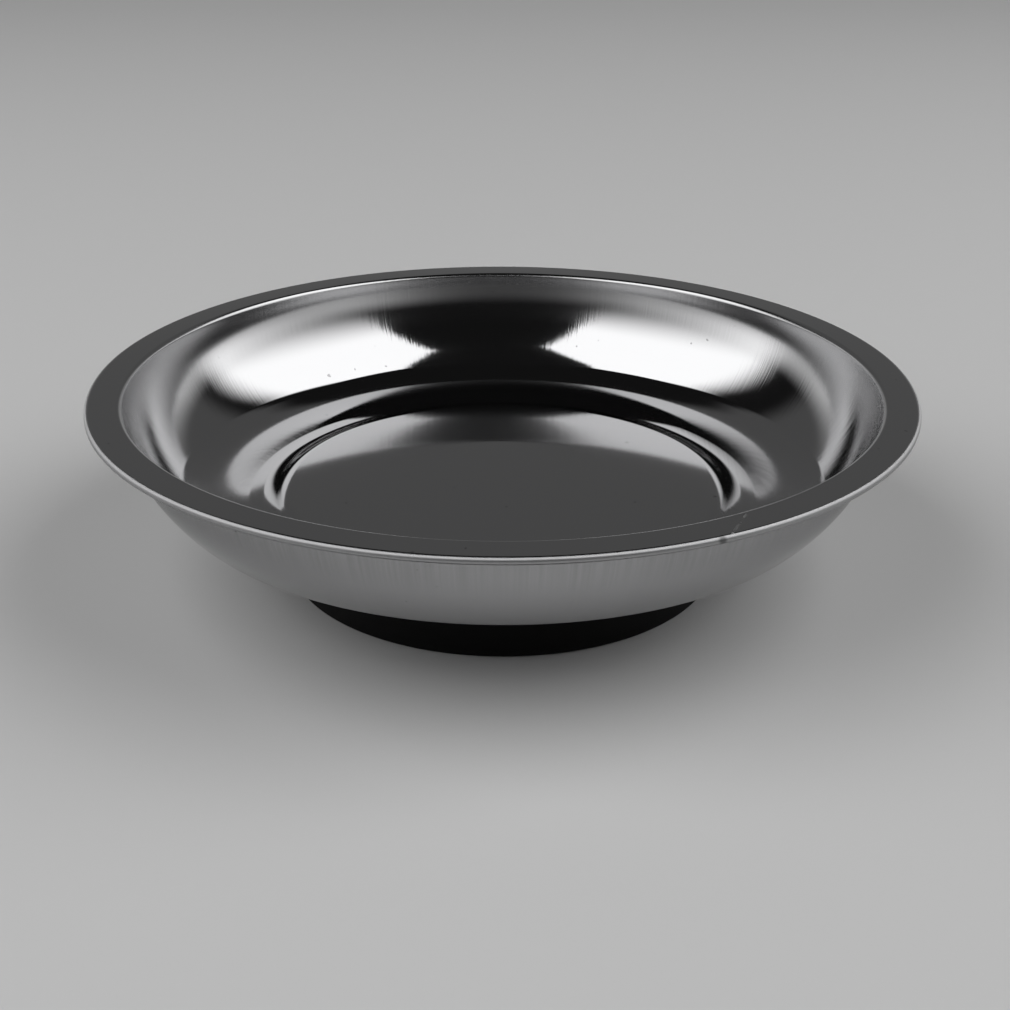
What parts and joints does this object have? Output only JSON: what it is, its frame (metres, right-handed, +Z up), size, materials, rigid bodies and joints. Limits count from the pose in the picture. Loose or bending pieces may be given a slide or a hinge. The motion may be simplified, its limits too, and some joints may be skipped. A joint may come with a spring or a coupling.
{
  "type": "magnetic parts tray",
  "caption": "Round pressed stainless dish with a flat rim and a raised round floor, on a rubber-covered ring magnet that holds small steel parts.",
  "frame": {"origin": "centre of the underside of the rubber base, where the tray stands", "axes": "+Z up, out of the dish; the tray is round about Z"},
  "size_m": [0.15, 0.15, 0.0358],
  "materials": {
    "stainless": "polished stainless with faint radial brushing",
    "rubber": "matt moulded black rubber",
    "ferrite": "dark grey sintered ferrite, ground faces",
    "zinc_steel": "bright zinc plate",
    "nylon": "natural nylon",
    "fibre": "pressed fibre board"
  },
  "bodies": {
    "root": {"dish": "stainless", "weld_stud": "zinc_steel", "magnet_pad": "fibre", "ring_magnet": "ferrite", "centring_bush": "nylon", "pole_plate": "zinc_steel", "flat_washer": "zinc_steel", "spring_washer": "zinc_steel", "hex_nut": "zinc_steel", "rubber_cover": "rubber"}
  },
  "joints": []
}
